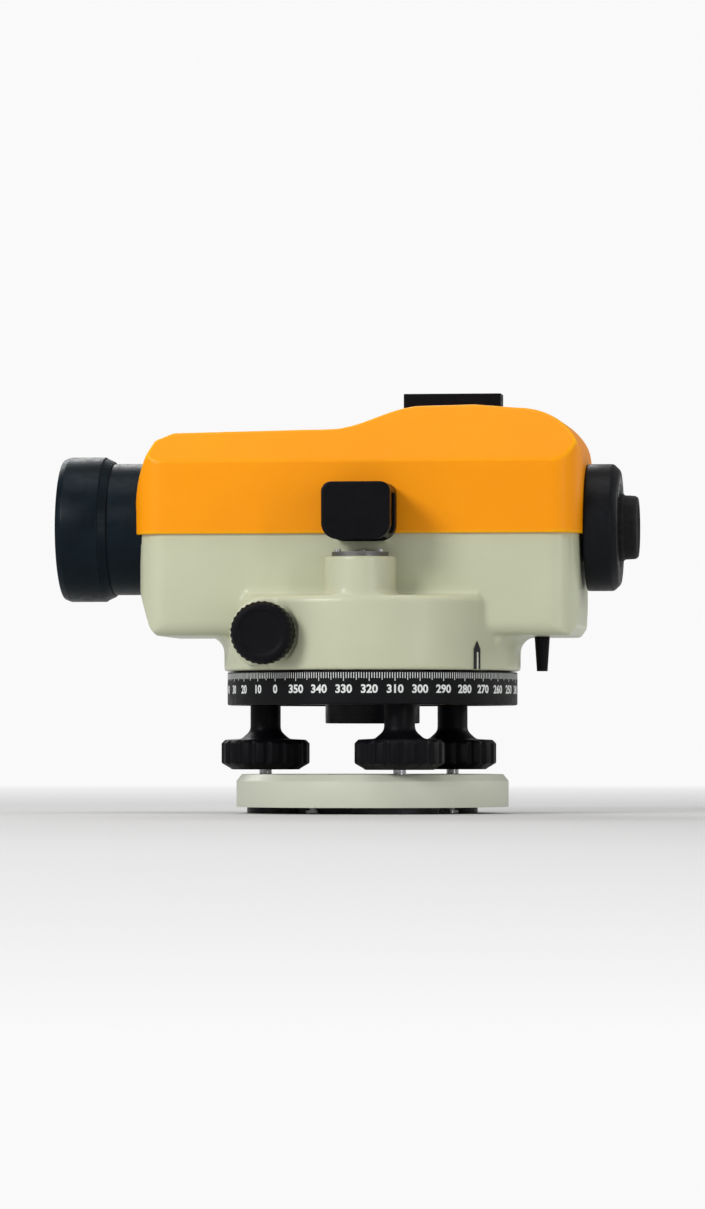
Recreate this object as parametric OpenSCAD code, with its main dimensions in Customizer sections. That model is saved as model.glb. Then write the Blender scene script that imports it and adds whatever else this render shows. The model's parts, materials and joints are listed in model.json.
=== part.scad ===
// Automatic level: surveying telescope with a self-levelling compensator,
// on a rotating housing over a three-screw levelling base.
// Millimetres. Z is the vertical axis, its origin on the underside of the base.
// The telescope lies along X with its objective towards -X.

/* [Telescope] */
// Height of the line of sight above the base
axis_z = 105.7; // [105.2:0.1:106.4]
// Outer diameter of the sunshade ring at the objective
shade_d = 54; // [53:0.5:58]
// Diameter of the objective tube where it leaves the housing
objective_tube_d = 49; // [48:0.5:50]
// Front end of the sunshade ring
shade_front_x = -115.4; // [-117:0.2:-115]
// Diameter of the eyepiece flange
flange_d = 47; // [44:0.5:48]
// Rear end of the eyecup
eyecup_rear_x = 98.9; // [98:0.1:101]

/* [Housing] */
// Half width of the housing
housing_half_w = 31.5; // [31:0.25:32]
// Half width of the top cover
cover_half_w = 33; // [32.75:0.25:34]
// Height of the parting line between housing and cover
split_z = 103.7; // [103:0.1:104.5]
// Underside of the telescope trough
trough_z = 65.4; // [64.5:0.1:66.5]
// Height where the cover's sides start to lean inwards
fold_z = 129.5; // [128:0.5:132]
// Top of the cover over the objective
nose_top_z = 140; // [139:0.5:142]
// Top of the cover over the compensator
hump_top_z = 149.3; // [148.5:0.1:150.5]

/* [Turret and circle] */
// Radius of the turret under the telescope
turret_r = 55; // [54.6:0.2:56]
// Underside of the turret
turret_z = 52.6; // [52.6:0.1:53]
// Radius of the horizontal circle
circle_r = 53.8; // [53.2:0.1:54.2]
// Underside of the horizontal circle
circle_z = 40; // [39.8:0.1:40.3]

/* [Base] */
// Radius of the base plate
base_r = 50.5; // [49:0.5:52]
// Top of the base plate
base_top_z = 14.5; // [14:0.1:14.6]
// Distance from the vertical axis to each foot screw
foot_circle_r = 41.6; // [41:0.2:42]
// Radius of each foot screw knob
foot_knob_r = 16.5; // [15:0.5:17]
// Tapping radius of the 5/8 inch tripod thread
tripod_thread_r = 6.75; // [6.7:0.05:6.9]

/* [Drives] */
// Distance from the vertical axis to the tangent screw
worm_x = -34.2; // [-34.4:0.1:-34.1]
// Radius of each tangent screw knob
tangent_knob_r = 11.5; // [10:0.5:12.5]
// Radius of the focusing knob
focus_knob_r = 15; // [13:0.5:15]
// Teeth on the worm wheel
wheel_teeth = 80; // [80]
// Teeth on the focusing pinion
pinion_teeth = 16; // [16]

/* [Hidden] */
$fn = 96;

cover_front_x = -85.5;
cover_rear_x = 80;
rise_x = -14;
rise_length = 34;
housing_front_x = -84;
housing_rear_x = 78.6;
corner_r = 11;
cover_wall = 2.5;
wall = 3;
skirt_z = split_z - 1;
deck_z = 79.8;
deck_under_z = 76;
turret_wall = 4;
foot_angles = [170, 290, 50];
index_angle = -40.1;
ball_z = 9.2;
ball_r = 4.4;
knob_z = 16.2;
plate_z = 2.4;
tribrach_z = 40.6;
tribrach_top_z = 47;
hub_z = 33.3;
spindle_r = 10;
sleeve_r = 16;
flange_screw_r = 20.3;
flange_screw_angles = [30, 150, 270];
worm_z = 66;
worm_module = 0.75;
worm_pitch = PI * worm_module;
wheel_r = wheel_teeth * worm_module / 2;
worm_r = -worm_x - wheel_r;
worm_len = 13;
wheel_half_h = 2;
backlash = 0.25;
pinion_module = 0.5;
pinion_r = pinion_teeth * pinion_module / 2;
pinion_x = -12;
pinion_z = 95.5;
rack_y = [14.5, 18.6];
rack_pitch = PI * pinion_module;
rod_r = 2;
rod_y = 21;
carriage_x = -48;
vial_y = -41;
vial_boss_r = 13;
under_fillet = 6;
deck_fillet = 3.5;
prism_half_w = 12.6;
prism_low_z = 99.8;
prism_high_z = 120.8;
prism_out_y = -57;
button_x = 63.2;
eps = 0.01;

// ---- shared shapes ----

// Turns a shape drawn along +Z so that it runs along +X from x.
module along_x(x, z = axis_z) {
    translate([x, 0, z]) rotate([0, 90, 0]) children();
}

// Turns a shape drawn along +Z so that it runs along +Y from y.
module along_y(x, y, z) {
    translate([x, y, z]) rotate([-90, 0, 0]) children();
}

module rod_x(r, x0, x1, z = axis_z) {
    along_x(x0, z) cylinder(r = r, h = x1 - x0);
}

module tube_x(r, bore, x0, x1, z = axis_z) {
    difference() {
        rod_x(r, x0, x1, z);
        rod_x(bore, x0 - 1, x1 + 1, z);
    }
}

module tube(r, bore, z0, z1) {
    translate([0, 0, z0]) difference() {
        cylinder(r = r, h = z1 - z0);
        translate([0, 0, -1]) cylinder(r = bore, h = z1 - z0 + 2);
    }
}

module block(low, high) {
    translate(low) cube(high - low);
}

// Flat rectangle with true round corners.
module round_rect(x0, x1, y0, y1, r) {
    translate([x0 + r, y0]) square([x1 - x0 - 2 * r, y1 - y0]);
    translate([x0, y0 + r]) square([x1 - x0, y1 - y0 - 2 * r]);
    for (x = [x0 + r, x1 - r], y = [y0 + r, y1 - r]) translate([x, y]) circle(r = r);
}

// A side outline in X and Z, given thickness across Y.
module side_slab(half_y) {
    rotate([90, 0, 0]) linear_extrude(height = 2 * half_y, center = true) children();
}

// A cross-section in Y and Z, run along X.
module cross_slab(x0, x1) {
    translate([x0, 0, 0]) rotate([90, 0, 90]) linear_extrude(height = x1 - x0) children();
}

module at_foot(i) {
    rotate([0, 0, foot_angles[i]]) translate([foot_circle_r, 0, 0])
        rotate([0, 0, -foot_angles[i]]) children();
}

// Cross-head screw with its head up, its head's underside at the origin.
module screw(head_r, head_h, shank_r, length) {
    difference() {
        union() {
            cylinder(r = head_r, h = head_h);
            translate([0, 0, -length]) cylinder(r = shank_r, h = length + eps);
        }
        for (a = [0, 90]) rotate([0, 0, a])
            translate([-head_r * 0.6, -head_r * 0.13, head_h * 0.4])
                cube([head_r * 1.2, head_r * 0.26, head_h]);
    }
}

// Lens between two spherical faces, its front vertex at x; a negative radius hollows that face.
module lens(r, x, thickness, front_r, rear_r, $fn = 288) {
    front_sag = abs(front_r) - sqrt(front_r * front_r - r * r);
    rear_sag = abs(rear_r) - sqrt(rear_r * rear_r - r * r);
    x0 = front_r > 0 ? x : x - front_sag;
    x1 = rear_r > 0 ? x + thickness : x + thickness + rear_sag;
    difference() {
        intersection() {
            rod_x(r, x0, x1);
            if (front_r > 0) along_x(x + front_r) sphere(r = front_r);
            if (rear_r > 0) along_x(x + thickness - rear_r) sphere(r = rear_r);
        }
        if (front_r < 0) along_x(x + front_r) sphere(r = -front_r);
        if (rear_r < 0) along_x(x + thickness - rear_r) sphere(r = -rear_r);
    }
}

// ---- base ----

module base_plate() color("beige") difference() {
    union() {
        translate([0, 0, plate_z]) cylinder(r = base_r, h = base_top_z - plate_z - 2.5);
        translate([0, 0, base_top_z - 2.5 - eps]) cylinder(r1 = base_r, r2 = base_r - 2, h = 2.5 + eps);
    }
    translate([0, 0, plate_z - 1]) cylinder(r = 12, h = 20);
    for (i = [0:2]) at_foot(i) {
        translate([0, 0, ball_z]) sphere(r = 6.4);
        translate([0, 0, plate_z - 1]) cylinder(r = 6.4, h = ball_z - plate_z + 1);
        translate([0, 0, ball_z]) cylinder(r = 3.7, h = 10);
    }
    for (i = [0:2]) rotate([0, 0, foot_angles[i] + 60]) translate([30, 0, plate_z - 1])
        cylinder(r = 1.6, h = 8);
}

module spring_plate() color("dimgray") difference() {
    linear_extrude(height = plate_z) union() {
        for (i = [0:2]) rotate(foot_angles[i]) translate([31, 0]) circle(r = 17);
        for (i = [0:2]) rotate(foot_angles[i] + 60) translate([-1, -27.6]) square([18, 55.2]);
        circle(r = 30);
    }
    translate([0, 0, -1]) cylinder(r = 9.2, h = 5);
    for (i = [0:2]) rotate([0, 0, foot_angles[i] + 60]) translate([30, 0, 0]) {
        translate([0, 0, -1]) cylinder(r = 1.6, h = 5);
        translate([0, 0, -1]) cylinder(r = 3.2, h = 2.2);
    }
}

module thread_bush() color("silver") difference() {
    union() {
        translate([0, 0, 0]) cylinder(r = 9, h = 12);
        translate([0, 0, plate_z + 0.1]) cylinder(r = 11.8, h = 3);
    }
    translate([0, 0, -1]) cylinder(r = tripod_thread_r, h = 14);
}

module plate_screws() color("gray") for (i = [0:2])
    rotate([0, 0, foot_angles[i] + 60]) translate([30, 0, 1.2]) mirror([0, 0, 1]) screw(2.9, 1, 1.5, 7.5);

module ball_cup() color("white") difference() {
    translate([0, 0, ball_z]) sphere(r = 6.2);
    translate([0, 0, ball_z]) sphere(r = 4.8);
    translate([0, 0, ball_z + 2.4]) cylinder(r = 8, h = 8);
    translate([0, 0, ball_z - 8]) cylinder(r = 1.2, h = 8);
}

module foot_ball() color("silver") union() {
    translate([0, 0, ball_z]) sphere(r = ball_r);
    translate([0, 0, ball_z]) cylinder(r = 2.3, h = knob_z + 2.4 - ball_z);
}

module foot_screw() color("black") difference() {
    translate([0, 0, knob_z]) rotate_extrude() polygon([
        [0, 0], [foot_knob_r - 3, 0], [foot_knob_r - 0.7, 1.5], [foot_knob_r, 2.6],
        [foot_knob_r, 9.6], [foot_knob_r - 0.9, 10.7], [10.4, 11.3], [8.2, 12], [6.7, 13.3],
            [5.9, 15.2], [5.65, 17.6],
        [5.65, 24.2], [4.85, 24.2], [4.85, 13.4], [3, 13.4], [3, 26.6], [2.4, 27.2], [0, 27.2]]);
    for (i = [0:17]) rotate([0, 0, i * 20]) translate([foot_knob_r + 0.9, 0, knob_z - 1])
        cylinder(r = 1.7, h = 13, $fn = 24);
    translate([0, 0, knob_z - 1]) cylinder(r = 2.5, h = 3.7);
}

// ---- tribrach, bearing and circle ----

module tribrach() color("black") difference() {
    union() {
        translate([0, 0, tribrach_z]) cylinder(r = 49.4, h = tribrach_top_z - tribrach_z);
        translate([0, 0, hub_z]) cylinder(r = 17.5, h = tribrach_top_z - hub_z);
    }
    translate([0, 0, 36]) cylinder(r = 14.02, h = 20);
    translate([0, 0, hub_z - 1]) cylinder(r = 12.5, h = 10);
    for (i = [0:2]) at_foot(i) {
        translate([0, 0, tribrach_z - 1]) cylinder(r = 6.2, h = 4.8);
        translate([0, 0, tribrach_z]) cylinder(r = 4.62, h = 10);
    }
    for (i = [0:2]) rotate([0, 0, foot_angles[i] + 60]) translate([30, 0, tribrach_z - 1])
        cylinder(r = 9, h = 4.4);
}

module foot_bushes() color("goldenrod") for (i = [0:2]) at_foot(i) tube(4.6, 3.1, 33.4, tribrach_top_z);

module bearing_sleeve() color("darkgoldenrod") difference() {
    union() {
        translate([0, 0, 36.2]) cylinder(r = 14, h = 11);
        translate([0, 0, tribrach_top_z + 0.02]) cylinder(r = sleeve_r, h = 22.9);
        translate([0, 0, tribrach_top_z + 0.02]) cylinder(r = 18.5, h = 16.9);
    }
    translate([0, 0, 30]) cylinder(r = spindle_r + 0.05, h = 50);
}

// Wave washer that presses the worm wheel on the sleeve's shoulder, and the snap ring above it.
module clutch_rings() color("silver") {
    difference() {
        tube(18.2, sleeve_r + 0.2, 68.06, 69.2);
        for (a = [0:60:300]) rotate([0, 0, a]) translate([14, 0, 67.4]) rotate([0, 90, 0])
            cylinder(r = 1.1, h = 6, $fn = 32);
    }
    difference() {
        tube(17.4, sleeve_r + 0.1, 69.3, 69.85);
        block([-2.5, 10, 69], [2.5, 20, 71]);
    }
}

module horizontal_circle() color("black") difference() {
    rotate_extrude() polygon([
        [49.9, circle_z], [circle_r - 0.6, circle_z], [circle_r, circle_z + 0.6],
        [circle_r, 51.8], [circle_r - 0.4, 52.2], [40, 52.2], [40, 47.3], [49.9, 47.3]]);
    tube(49.2, 41.5, 49.4, 60);
}

module worm_wheel() color("khaki") {
    step = 360 / wheel_teeth;
    tip = wheel_r + worm_module;
    root = wheel_r - worm_module * 1.45;
    half_pitch_deg = (worm_pitch / 2 - backlash) / 2 / wheel_r * 180 / PI;
    lean = worm_module * tan(20) / wheel_r * 180 / PI;
    slant = worm_pitch / (2 * PI * worm_r) / wheel_r * 2 * wheel_half_h * 180 / PI;
    outline = [for (i = [0:wheel_teeth - 1], s = [[root, -half_pitch_deg - lean * 1.4],
        [tip, -half_pitch_deg + lean],
        [tip, half_pitch_deg - lean], [root, half_pitch_deg + lean * 1.4]])
        let(a = 180 + (i + 0.5) * step + s[1]) [s[0] * cos(a), s[0] * sin(a)]];
    translate([0, 0, worm_z]) rotate([0, 0, -slant / 2])
        linear_extrude(height = 2 * wheel_half_h, center = true, twist = -slant, slices = 1)
            difference() {
            polygon(outline);
            circle(r = sleeve_r + 0.15, $fn = 48);
        }
}

// ---- tangent screw ----

// Radius of the worm where its thread has the given phase, from 0 to 1 with the crest at 0.
function worm_radius(phase) =
    let(
        from_crest = min(phase, 1 - phase) * worm_pitch,
        crest_half = (worm_pitch / 2 - backlash) / 2 - worm_module * tan(20),
        rise = 2 * worm_module * tan(20),
        share = min(1, max(0, (from_crest - crest_half) / rise)))
    worm_r + worm_module - share * worm_module * 2.2;

// Single-start right-hand worm along Y, with a thread crest facing the wheel at y = 0.
module worm() color("silver") {
    sides = 24;
    rows = 44;
    rings = [for (j = [0:rows]) let(y = (j / rows - 0.5) * worm_len) [for (i = [0:sides - 1])
        let(
            a = i * 360 / sides,
            turn = y / worm_pitch - (a - 90) / 360,
            r = j == 0 || j == rows ? worm_r - 1.2 : worm_radius(turn - floor(turn)))
        [worm_x + r * sin(a), y, worm_z + r * cos(a)]]];
    bores = [for (y = [-worm_len / 2, worm_len / 2]) [for (i = [0:sides - 1])
        let(a = i * 360 / sides) [worm_x + 2.6 * sin(a), y, worm_z + 2.6 * cos(a)]]];
    n = (rows + 1) * sides;
    points = [for (ring = rings) each ring, for (ring = bores) each ring];
    faces = [
        for (j = [0:rows - 1], i = [0:sides - 1])
            let(k = (i + 1) % sides, p = j * sides, q = p + sides)
            each [[p + i, p + k, q + k], [p + i, q + k, q + i]],
        for (i = [0:sides - 1]) let(k = (i + 1) % sides)
            each [[n + i, n + sides + k, n + k], [n + i, n + sides + i, n + sides + k],
                [n + i, n + k, k], [n + i, k, i],
                [n + sides + i, n - sides + k, n + sides + k],
                    [n + sides + i, n - sides + i, n - sides + k]]];
    polyhedron(points = points, faces = faces);
}

module worm_shaft() color("silver") along_y(worm_x, -56, worm_z) difference() {
    union() {
        cylinder(r = 2.5, h = 112);
        for (y = [44.5, 63.5]) translate([0, 0, y]) cylinder(r = 3.6, h = 4);
    }
    for (y = [-1, 109]) translate([0, 0, y]) cylinder(r = 1, h = 4);
}

module worm_bushes() color("goldenrod") for (s = [-1, 1])
    along_y(worm_x, s > 0 ? 36.5 : -46.5, worm_z) difference() {
    union() {
        cylinder(r = 6, h = 10);
        translate([0, 0, s > 0 ? 9.6 : -0.6]) cylinder(r = 7, h = 1);
    }
    translate([0, 0, -2]) cylinder(r = 2.56, h = 14);
}

module tangent_knob() difference() {
    rotate_extrude() polygon([
        [2.52, 0], [tangent_knob_r - 1.5, 0], [tangent_knob_r, 1.2], [tangent_knob_r, 9],
        [tangent_knob_r - 0.5, 10.4], [tangent_knob_r - 1.6, 11.2], [0, 11.6], [0, 8.6], [2.52, 8.6]]);
    for (i = [0:23]) rotate([0, 0, i * 15]) translate([tangent_knob_r + 0.5, 0, 1.4])
        cylinder(r = 0.9, h = 8, $fn = 16);
}

module tangent_knobs() color("black") for (s = [-1, 1]) translate([worm_x, s * 48.2, worm_z])
    rotate([-90 * s, 0, 0]) tangent_knob();

// ---- housing ----

// Trough and turret before they are hollowed.
module housing_body() {
    intersection() {
        side_slab(40) polygon([
            [housing_front_x, split_z], [housing_front_x, 82], [-79.5, 68.5], [-77, trough_z],
            [housing_rear_x - 3.2, trough_z], [housing_rear_x - 0.6, 68.5], [housing_rear_x, 76],
                [housing_rear_x, split_z]]);
        translate([0, 0, 60]) linear_extrude(height = 60)
            round_rect(housing_front_x, housing_rear_x, -housing_half_w, housing_half_w, corner_r);
        cross_slab(-100, 100) union() {
            translate([-housing_half_w, trough_z + 5]) square([2 * housing_half_w, 60]);
            translate([-housing_half_w + 5, trough_z]) square([2 * housing_half_w - 10, 20]);
            for (s = [-1, 1]) translate([s * (housing_half_w - 5), trough_z + 5]) circle(r = 5);
        }
    }
    translate([0, 0, turret_z]) cylinder(r = turret_r, h = deck_z - turret_z - 1.5);
    translate([0, 0, deck_z - 1.5 - eps]) cylinder(r1 = turret_r, r2 = turret_r - 1.2, h = 1.5 + eps);
    translate([0, vial_y, turret_z + 20]) cylinder(r = vial_boss_r, h = 94 - turret_z - 20);
    // fillets: turret to the trough's underside, deck to the trough's sides and to the vial's boss
    intersection() {
        translate([0, 0, trough_z]) rotate_extrude() union() {
            square([turret_r - 1, 2]);
            fillet_outline(turret_r, 0, under_fillet, -1);
        }
        block([-72, -27, 50], [72, 27, trough_z + 1]);
    }
    intersection() {
        cylinder(r = turret_r - 1.3, h = 120);
        for (s = [0, 1]) mirror([0, s, 0])
            cross_slab(-60, 60) fillet_outline(housing_half_w, deck_z, deck_fillet, 1);
    }
    intersection() {
        cylinder(r = turret_r - 1.3, h = 120);
        translate([0, vial_y, deck_z]) rotate_extrude() fillet_outline(vial_boss_r, 0, 2.5, 1);
    }
}

// Concave fillet outline in a corner at x, y: the wall goes up (side 1) or down (side -1) from it.
module fillet_outline(x, y, r, side) {
    translate([x, y]) polygon([[-0.5, -0.5 * side], [r, -0.5 * side], [r, 0],
        for (a = [270:-11.25:180]) [r + r * cos(a), side * (r + r * sin(a))], [-0.5, side * r]]);
}

module housing_cavity() {
    block([-80.5, -housing_half_w + wall, deck_z],
        [housing_rear_x - wall, housing_half_w - wall, split_z + 1]);
    block([-77, -26, 69], [-58.5, 26, deck_z + 1]);
    block([58.5, -26, 69], [70, 26, deck_z + 1]);
    translate([0, 0, turret_z - 1]) cylinder(r = turret_r - turret_wall, h = deck_under_z - turret_z + 1);
}

module main_housing() color("beige") difference() {
    union() {
        difference() {
            housing_body();
            housing_cavity();
        }
        // bosses of the tangent screw's bushes
        intersection() {
            for (s = [-1, 1]) along_y(worm_x, s > 0 ? 36 : -46, worm_z) cylinder(r = 13.38, h = 10);
            block([-60, -60, 54.4], [0, 60, deck_z]);
        }
        // posts for the cover screws
        for (x = [-70, 66], s = [-1, 1]) translate([x, s * 24.5, 75]) cylinder(r = 3.5, h = split_z - 75);
        // bridge over the test button's spring
        block([58, -5.5, 78.4], [70.5, 5.5, 80.2]);
        // pad behind the bubble prism
        block([-9, -housing_half_w - 1.6, prism_low_z], [9, -housing_half_w + 2, skirt_z - 0.3]);
    }
    // tangent screw, with the seats of its bushes' flanges
    along_y(worm_x, -60, worm_z) cylinder(r = 6.02, h = 120);
    for (s = [-1, 1]) along_y(worm_x, s > 0 ? 46.05 : -66.05, worm_z) cylinder(r = 7.2, h = 20);
    // objective and eyepiece
    rod_x(objective_tube_d / 2 + 0.05, -100, -75);
    rod_x(12.5, 60, 90);
    // focusing shaft
    along_y(pinion_x, 20, pinion_z) cylinder(r = 6.02, h = 20);
    // vial seat
    translate([0, vial_y, 86]) cylinder(r = 11, h = 11);
    // pockets round the tangent screw's knobs
    for (s = [-1, 1]) along_y(worm_x, s > 0 ? 47.3 : -67.3, worm_z)
        cylinder(r = tangent_knob_r + 0.9, h = 20);
    // test button
    translate([button_x, 0, 60]) cylinder(r = 3.4, h = 10);
    translate([button_x, 0, 70]) cylinder(r = 1.9, h = 12);
    // screw holes of the cover and the spindle's flange
    for (x = [-70, 66], s = [-1, 1]) translate([x, s * 24.5, 92]) cylinder(r = 1.55, h = 20);
    for (a = flange_screw_angles) rotate([0, 0, a]) translate([flange_screw_r, 0, 70])
        cylinder(r = 1.55, h = 8.5);
}

// Top line of the cover, from the nose over the rise to the hump.
function smooth(t) = (1 - cos(180 * min(1, max(0, t)))) / 2;
function cover_top(x) =
    nose_top_z + 1.4 * (x - cover_front_x) / (-20 - cover_front_x)
    + (hump_top_z - nose_top_z - 1.4) * smooth((x - rise_x) / rise_length)
    - max(0, x + 20) * 1.4 / 65.5 * (1 - smooth((x - rise_x) / rise_length));

// Side outline of the cover, drawn inside its skin by inset.
module cover_side(inset) {
    nose_r = 52;
    nose_z = 110;
    tail_z = 129;
    tail = [24.6, hump_top_z - tail_z];
    top_xs = [for (x = [-71:7:-15]) x, for (x = [rise_x:4:rise_x + rise_length + 2]) x, 40];
    polygon([
        [cover_front_x + inset, inset > 0 ? skirt_z - 5 : skirt_z],
        for (a = [0:4:32])
            [cover_front_x + nose_r - (nose_r - inset) * cos(a), nose_z + (nose_r - inset) * sin(a)],
        for (x = top_xs) [x, cover_top(x) - inset],
        for (a = [90:-7.5:0])
            [cover_rear_x - tail[0] + (tail[0] - inset) * cos(a), tail_z + (tail[1] - inset) * sin(a)],
        [cover_rear_x - inset, inset > 0 ? skirt_z - 5 : skirt_z]]);
}

module cover_solid(inset) {
    half = cover_half_w - inset;
    lean = 12.5 / 19.3;
    intersection() {
        side_slab(60) cover_side(inset);
        cross_slab(-100, 100) polygon([
            [-half, 80], [half, 80], [half, fold_z],
            [half - lean * (160 - fold_z), 160], [-half + lean * (160 - fold_z), 160], [-half, fold_z]]);
        translate([0, 0, 90]) linear_extrude(height = 80)
            round_rect(cover_front_x + inset, cover_rear_x - inset, -half, half, corner_r - inset / 2);
    }
}

module top_cover() color("orange") difference() {
    union() {
        difference() {
            cover_solid(0);
            cover_solid(cover_wall);
            // rebate that slips over the housing's rim
            translate([0, 0, skirt_z - 3]) linear_extrude(height = split_z - skirt_z + 3.02)
                round_rect(housing_front_x - 0.15, housing_rear_x + 0.15,
                    -housing_half_w - 0.15, housing_half_w + 0.15, corner_r);
        }
        // pads that stand on the housing's screw posts
        for (x = [-70, 66], s = [-1, 1]) translate([x, s * 24.5, split_z + 0.04])
            cylinder(r = 3.5, h = 3);
        for (x = [-70, 66], s = [-1, 1]) block([x - 3, s > 0 ? 24.5 : -31.2, split_z + 0.04],
            [x + 3, s > 0 ? 31.2 : -24.5, split_z + 3.04]);
    }
    rod_x(objective_tube_d / 2 + 0.05, -100, -75);
    rod_x(12.5, 60, 90);
    for (x = [-70, 66], s = [-1, 1]) translate([x, s * 24.5, split_z - 1]) cylinder(r = 1.6, h = 20);
}

module housing_screws() color("gray") {
    for (x = [-70, 66], s = [-1, 1]) translate([x, s * 24.5, split_z + 3.1]) screw(2.8, 1.8, 1.5, 13);
    for (a = flange_screw_angles) rotate([0, 0, a]) translate([flange_screw_r, 0, 71.95])
        mirror([0, 0, 1]) screw(2.6, 1.8, 1.5, 6);
}

// Dust plate under the turret.
module turret_plate() color("dimgray") tube(50.8, 19.5, 52.8, 54.2);

module spindle() color("silver") difference() {
    union() {
        translate([0, 0, 37.6]) cylinder(r = spindle_r, h = 36);
        translate([0, 0, 72]) cylinder(r = 23, h = deck_under_z - 72 - 0.02);
        translate([0, 0, 35]) cylinder(r = 5, h = 4);
    }
    for (a = flange_screw_angles) rotate([0, 0, a]) translate([flange_screw_r, 0, 70])
        cylinder(r = 1.6, h = 8);
}

module spindle_nut() color("gray") difference() {
    union() {
        translate([0, 0, 34.9]) cylinder(r = 11.6, h = 1.1);
        translate([0, 0, 33.6]) cylinder(r = 8.5, h = 1.32, $fn = 6);
    }
    translate([0, 0, 30]) cylinder(r = 5.03, h = 8);
}

// ---- objective ----

module objective_tube() color("black") difference() {
    union() {
        rod_x(objective_tube_d / 2, -104, -82);
        rod_x(20.6, -82.5, -62);
        rod_x(25.6, -77.9, -75.3);
        for (s = [-1, 1]) translate([0, s * rod_y, 0]) rod_x(4, -66.4, -62);
    }
    rod_x(19.6, -105, -91.3);
    rod_x(18, -92, -61);
    for (s = [-1, 1]) translate([0, s * rod_y, 0]) rod_x(rod_r + 0.03, -66, -61);
}

module sunshade_ring() color("black") along_x(shade_front_x) rotate_extrude() polygon([
    [24, 0], [shade_d / 2 - 1.4, 0], [shade_d / 2 - 0.3, 1], [shade_d / 2, 2.2], [shade_d / 2, 15.4],
    [shade_d / 2 - 0.3, 15.9], [objective_tube_d / 2 + 0.5, 19], [objective_tube_d / 2 + 0.04, 19],
    [objective_tube_d / 2 + 0.04, 11.2], [19.6, 11.2], [19.6, 9.8], [20.2, 8.6], [23, 5.2]]);

module crown_lens() color("lightblue") lens(19.5, -101.5, 8.2, 62, 48);
module flint_lens() color("powderblue") lens(19.5, -93.26, 2.6, -48, 220);
module lens_retainer() color("black") tube_x(19.55, 17.8, -103.9, -98.95);

// ---- focusing ----

module guide_rods() color("silver") for (s = [-1, 1]) translate([0, s * rod_y, 0])
    rod_x(rod_r, -65.9, 14.5);

module focus_bush() color("goldenrod") difference() {
    union() {
        along_y(pinion_x, 26.5, pinion_z) cylinder(r = 6, h = 9.2);
        along_y(pinion_x, housing_half_w + 0.05, pinion_z) cylinder(r = 7, h = 1.6);
    }
    along_y(pinion_x, 20, pinion_z) cylinder(r = 3.05, h = 30);
}

function involute(base, a) =
    [base * (cos(a) + a * PI / 180 * sin(a)), base * (sin(a) - a * PI / 180 * cos(a))];
function turned(p, a) = [p[0] * cos(a) - p[1] * sin(a), p[0] * sin(a) + p[1] * cos(a)];

// Involute tooth outline of the focusing pinion, with a gap at the top of the wheel.
function pinion_outline() =
    let(
        base = pinion_r * cos(20),
        roll = function(r) sqrt(max(0, pow(r / base, 2) - 1)) * 180 / PI,
        inv = (tan(20) - 20 * PI / 180) * 180 / PI,
        half = 90 / pinion_teeth - 0.06 / pinion_r * 180 / PI + inv,
        tip = pinion_r + pinion_module * 0.9,
        root = pinion_r - pinion_module * 1.25,
        flank = [for (i = [0:4]) involute(base, roll(base + (tip - base) * i / 4))])
    [for (t = [0:pinion_teeth - 1]) let(c = 90 + (t + 0.5) * 360 / pinion_teeth)
        each [
            turned([root, 0], c - half - 0.6),
            for (p = flank) turned(p, c - half),
            for (i = [4:-1:0]) turned([flank[i][0], -flank[i][1]], c + half),
            turned([root, 0], c + half + 0.6)]];

module focus_shaft() color("silver") union() {
    along_y(pinion_x, 12, pinion_z) cylinder(r = 2.6, h = 3);
    translate([pinion_x, rack_y[1] + 0.2, pinion_z]) rotate([90, 0, 0])
        linear_extrude(height = rack_y[1] - rack_y[0] + 0.4) polygon(pinion_outline());
    along_y(pinion_x, rack_y[1], pinion_z) cylinder(r = 3, h = 49.9 - rack_y[1]);
}

module focus_knob() color("black") along_y(pinion_x, 36.2, pinion_z) difference() {
    rotate_extrude() polygon([
        [3.02, 0], [focus_knob_r - 3, 0], [focus_knob_r - 1.5, 1.4], [focus_knob_r, 2.2],
            [focus_knob_r, 12.6],
        [focus_knob_r - 1.2, 14], [focus_knob_r - 4, 14.6], [focus_knob_r - 5, 14], [0, 14],
            [0, 13.8], [3.02, 13.8]]);
    for (i = [0:29]) rotate([0, 0, i * 12]) translate([focus_knob_r + 0.8, 0, 2.4])
        cylinder(r = 1.4, h = 10, $fn = 16);
}

module focus_carriage() color("darkgray") {
    slope = tan(20);
    crest = rack_pitch / 4 - 0.06;
    difference() {
        union() {
            rod_x(17.5, carriage_x, carriage_x + 12);
            block([carriage_x + 2, -rod_y - 4, axis_z - 4], [carriage_x + 10, rod_y + 4, axis_z + 4]);
            // arm that carries the rack beside the light path
            block([carriage_x + 11, rack_y[0], 100.2], [1.5, rack_y[1], 103.2]);
        }
        rod_x(14.6, carriage_x - 1, carriage_x + 9.5);
        rod_x(12.5, carriage_x, carriage_x + 14);
        for (s = [-1, 1]) translate([0, s * rod_y, 0]) rod_x(rod_r + 0.06, carriage_x, carriage_x + 12);
    }
    translate([0, rack_y[1], pinion_z + pinion_r]) rotate([90, 0, 0])
        linear_extrude(height = rack_y[1] - rack_y[0]) union() for (k = [-9:8])
            translate([pinion_x + k * rack_pitch, 0]) polygon([
                [-crest - slope * 0.72, 0.72], [-crest + slope * 0.42, -0.42],
                [crest - slope * 0.42, -0.42], [crest + slope * 0.72, 0.72]]);
}

module focus_lens() color("lightblue") lens(14.5, carriage_x + 4, 3.2, -60, -80);

// ---- compensator ----

frame_x = [12.1, 57];
damper_z = 91;

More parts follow.
